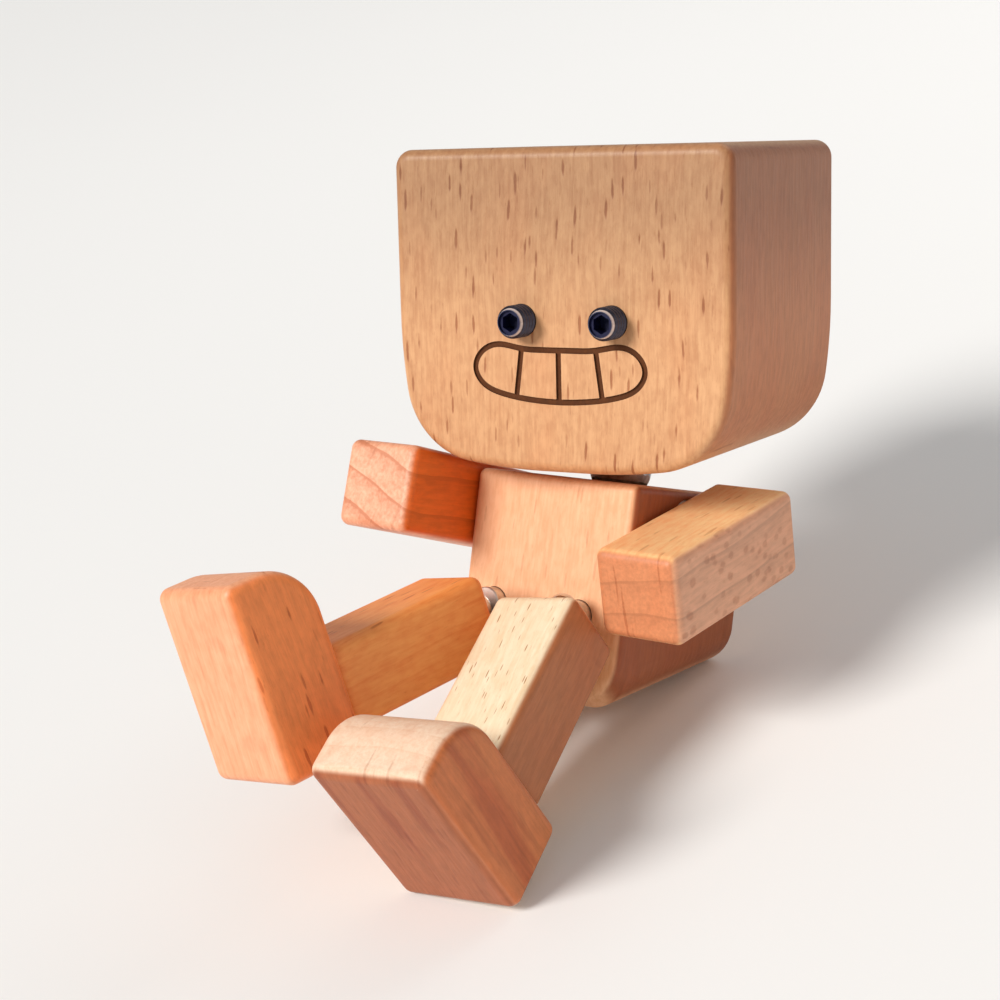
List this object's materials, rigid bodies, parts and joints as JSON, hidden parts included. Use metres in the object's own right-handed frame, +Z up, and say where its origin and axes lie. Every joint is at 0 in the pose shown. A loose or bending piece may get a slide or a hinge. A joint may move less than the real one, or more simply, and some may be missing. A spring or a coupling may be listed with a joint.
{
  "type": "magnetic block doll",
  "caption": "Seated wooden doll of beech blocks with a big grinning head, joined by magnets and steel balls at the neck, shoulders, hips and ankles.",
  "frame": {"origin": "on the floor, under the middle of the doll's overall box", "axes": "+Z up, -Y to the doll's front, +X to the doll's own left"},
  "size_m": [0.0512, 0.0942, 0.0725],
  "materials": {
    "head_beech": "satin",
    "torso_beech": "satin",
    "arm_beech": "satin",
    "pale_beech": "satin",
    "leg_beech": "satin",
    "foot_beech": "satin",
    "screw_steel": "polished",
    "ball_steel": "polished",
    "magnet": "satin"
  },
  "bodies": {
    "torso": {"torso_block": "torso_beech", "torso_neck_magnet": "magnet", "torso_left_shoulder_magnet": "magnet", "torso_right_shoulder_magnet": "magnet", "torso_left_hip_magnet": "magnet", "torso_right_hip_magnet": "magnet"},
    "neck_ball": {"neck_ball": "ball_steel"},
    "head": {"head_block": "head_beech", "head_neck_magnet": "magnet", "left_eye_screw": "screw_steel", "right_eye_screw": "screw_steel"},
    "left_arm": {"left_arm_block": "arm_beech", "left_arm_magnet": "magnet"},
    "right_arm": {"right_arm_block": "arm_beech", "right_arm_magnet": "magnet"},
    "left_hip_ball": {"left_hip_ball": "ball_steel"},
    "right_hip_ball": {"right_hip_ball": "ball_steel"},
    "left_leg": {"left_leg_block": "pale_beech", "left_leg_hip_magnet": "magnet", "left_leg_ankle_magnet": "magnet"},
    "right_leg": {"right_leg_block": "leg_beech", "right_leg_hip_magnet": "magnet", "right_leg_ankle_magnet": "magnet"},
    "left_foot": {"left_foot_block": "foot_beech", "left_foot_magnet": "magnet"},
    "right_foot": {"right_foot_block": "leg_beech", "right_foot_magnet": "magnet"}
  },
  "joints": [
    {"name": "neck_nod", "type": "hinge", "parent": "torso", "child": "neck_ball", "pos_m": [0.00095, 0.01576, 0.02797], "axis": [1, 0, 0], "range_deg": [-24, 2]},
    {"name": "head_turn", "type": "hinge", "parent": "neck_ball", "child": "head", "pos_m": [0.00095, 0.01576, 0.02797], "axis": [-0.008, 0.3078, 0.9514], "range_deg": [-6, 128]},
    {"name": "left_shoulder", "type": "hinge", "parent": "torso", "child": "left_arm", "pos_m": [0.01155, 0.01449, 0.02016], "axis": [1, 0, 0], "range_deg": [-22, 180]},
    {"name": "right_shoulder", "type": "hinge", "parent": "torso", "child": "right_arm", "pos_m": [-0.01385, 0.01051, 0.02286], "axis": [1, 0, 0], "range_deg": [-3, 16]},
    {"name": "left_hip_splay", "type": "hinge", "parent": "torso", "child": "left_hip_ball", "pos_m": [0.00509, -0.0061, 0.01986], "axis": [0, 0.4989, 0.8666], "range_deg": [-5, 10]},
    {"name": "left_hip_swing", "type": "hinge", "parent": "left_hip_ball", "child": "left_leg", "pos_m": [0.00509, -0.0061, 0.01986], "axis": [0.9922, 0.0619, 0.1084], "range_deg": [-90, 4]},
    {"name": "right_hip_splay", "type": "hinge", "parent": "torso", "child": "right_hip_ball", "pos_m": [-0.00823, -0.00694, 0.01841], "axis": [0, 0.4989, 0.8666], "range_deg": [-30, 3]},
    {"name": "right_hip_swing", "type": "hinge", "parent": "right_hip_ball", "child": "right_leg", "pos_m": [-0.00823, -0.00694, 0.01841], "axis": [0.9639, -0.1405, 0.2262], "range_deg": [-36, 12]},
    {"name": "left_ankle_turn", "type": "hinge", "parent": "left_leg", "child": "left_foot", "pos_m": [0.00758, -0.03027, 0.01088], "axis": [-0.0961, 0.933, 0.3468], "range_deg": [-12, 225]},
    {"name": "right_ankle_turn", "type": "hinge", "parent": "right_leg", "child": "right_foot", "pos_m": [-0.01256, -0.03234, 0.02106], "axis": [0.167, 0.9806, -0.1026], "range_deg": [-180, 40]}
  ]
}
